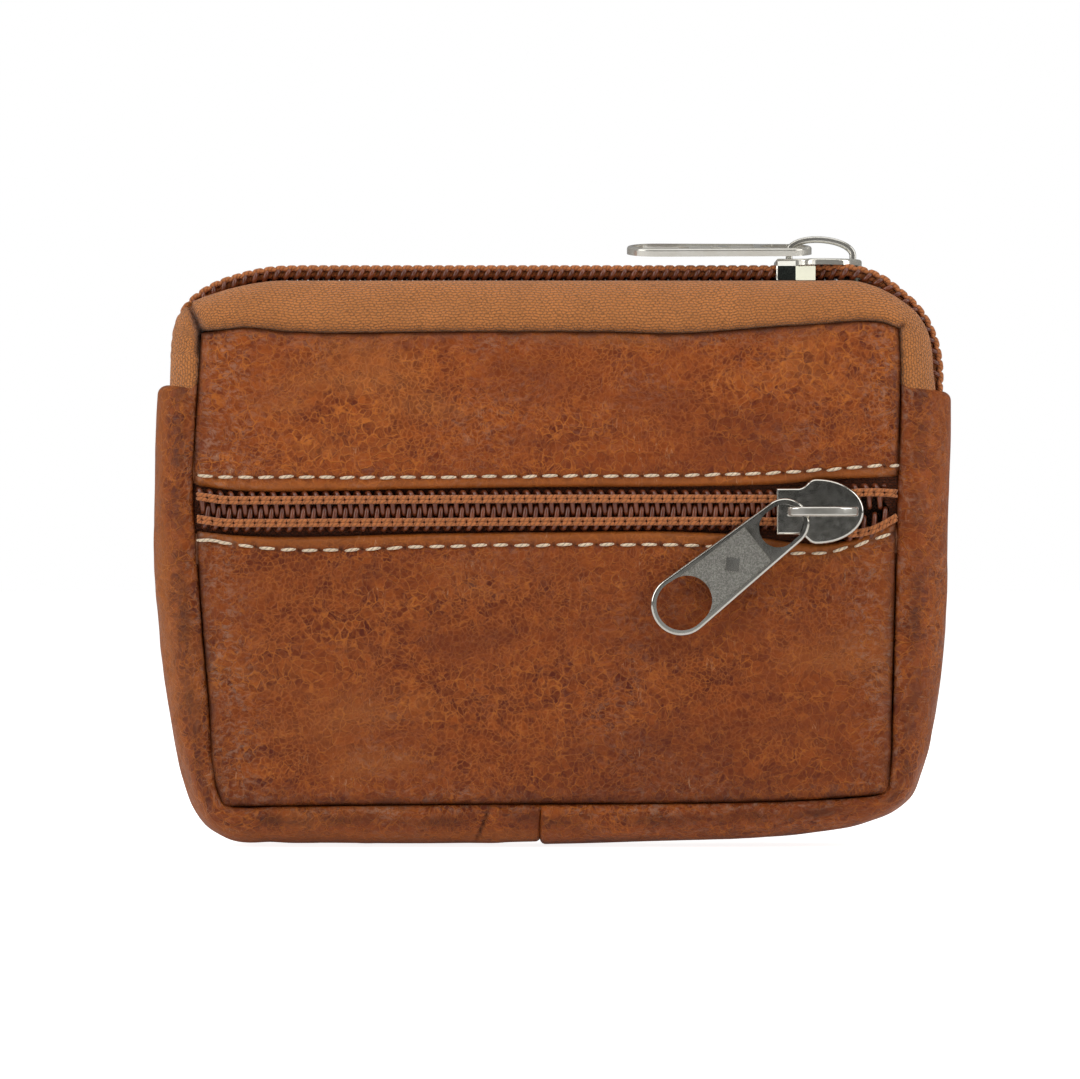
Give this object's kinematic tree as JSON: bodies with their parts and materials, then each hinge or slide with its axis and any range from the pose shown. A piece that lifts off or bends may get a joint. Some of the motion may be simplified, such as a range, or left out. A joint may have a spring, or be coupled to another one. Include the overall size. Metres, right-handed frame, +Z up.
{
  "type": "zippered leather pouch",
  "caption": "Small flat leather pouch with a zip over its top edge, a zipped front pocket, metal sliders with long pulls, woven zip tapes, fabric linings and a rounded side strip.",
  "frame": {"origin": "under the middle of the whole box that holds the pouch and its pulls, on the plane it stands on", "axes": "+X along the zips towards the end where the sliders stop, -Y out of the front pocket's face, +Z up"},
  "size_m": [0.1094, 0.0204, 0.0849],
  "materials": {
    "leather": "waxed, distressed",
    "lining": "plain weave",
    "zip_tape": "woven tape",
    "zip_coil": "glossy nylon",
    "coil_thread": "sewing thread",
    "topstitch_thread": "waxed thread",
    "metal": "polished nickel"
  },
  "bodies": {
    "pouch": {"front_panel_lower": "leather", "back_panel": "leather", "gusset_left": "leather", "gusset_right": "leather", "divider_lining": "lining", "back_lining": "lining", "gusset_lining": "lining", "main_zip_tape_back": "zip_tape", "front_zip_tape_upper": "zip_tape", "main_zip_coil_back": "zip_coil", "front_zip_coil_upper": "zip_coil", "main_zip_thread_back": "coil_thread", "front_zip_thread_upper": "coil_thread", "topstitch_upper": "topstitch_thread"},
    "main_slider": {"main_zip_slider": "metal", "main_zip_bail": "metal"},
    "main_pull": {"main_zip_pull": "metal"},
    "front_slider": {"front_zip_slider": "metal", "front_zip_bail": "metal"},
    "front_pull": {"front_zip_pull": "metal"},
    "mouth_lip": {"front_panel_upper": "leather", "main_zip_tape_front": "zip_tape", "main_zip_coil_front": "zip_coil", "main_zip_thread_front": "coil_thread"},
    "pocket_lip": {"front_zip_tape_lower": "zip_tape", "front_zip_coil_lower": "zip_coil", "front_zip_thread_lower": "coil_thread", "topstitch_lower": "topstitch_thread"}
  },
  "joints": [
    {"name": "main_slider_slide", "type": "slide", "parent": "pouch", "child": "main_slider", "axis": [1, 0, 0], "range_m": [-0.064, 0], "deforming": ["main_zip_coil_front", "main_zip_coil_back"]},
    {"name": "main_pull_swing", "type": "hinge", "parent": "main_slider", "child": "main_pull", "pos_m": [0.03575, 0.0022, 0.083], "axis": [0, 1, 0], "range_deg": [0, 160]},
    {"name": "front_slider_slide", "type": "slide", "parent": "pouch", "child": "front_slider", "axis": [1, 0, 0], "range_m": [-0.076, 0.003], "deforming": ["front_zip_coil_upper", "front_zip_coil_lower"]},
    {"name": "front_pull_swing", "type": "hinge", "parent": "front_slider", "child": "front_pull", "pos_m": [0.03455, -0.0078, 0.0464], "axis": [0, 0, 1], "range_deg": [0, 135]},
    {"name": "mouth_open", "type": "hinge", "parent": "pouch", "child": "mouth_lip", "pos_m": [0, -0.0043, 0.052], "axis": [1, 0, 0], "range_deg": [0, 15], "deforming": ["front_panel_upper", "main_zip_tape_front", "main_zip_coil_front", "main_zip_thread_front", "gusset_right", "divider_lining"]},
    {"name": "pocket_open", "type": "hinge", "parent": "pouch", "child": "pocket_lip", "pos_m": [0, 0.0142, 0.016], "axis": [1, 0, 0], "range_deg": [-0.3, 5.5], "deforming": ["front_panel_lower", "front_zip_tape_lower", "front_zip_coil_lower", "front_zip_thread_lower", "topstitch_lower"]}
  ],
  "couplings": [
    {"joint": "mouth_open", "follows": "main_slider_slide", "rad_per_m": -4.09},
    {"joint": "pocket_open", "follows": "front_slider_slide", "rad_per_m": -1.26}
  ]
}
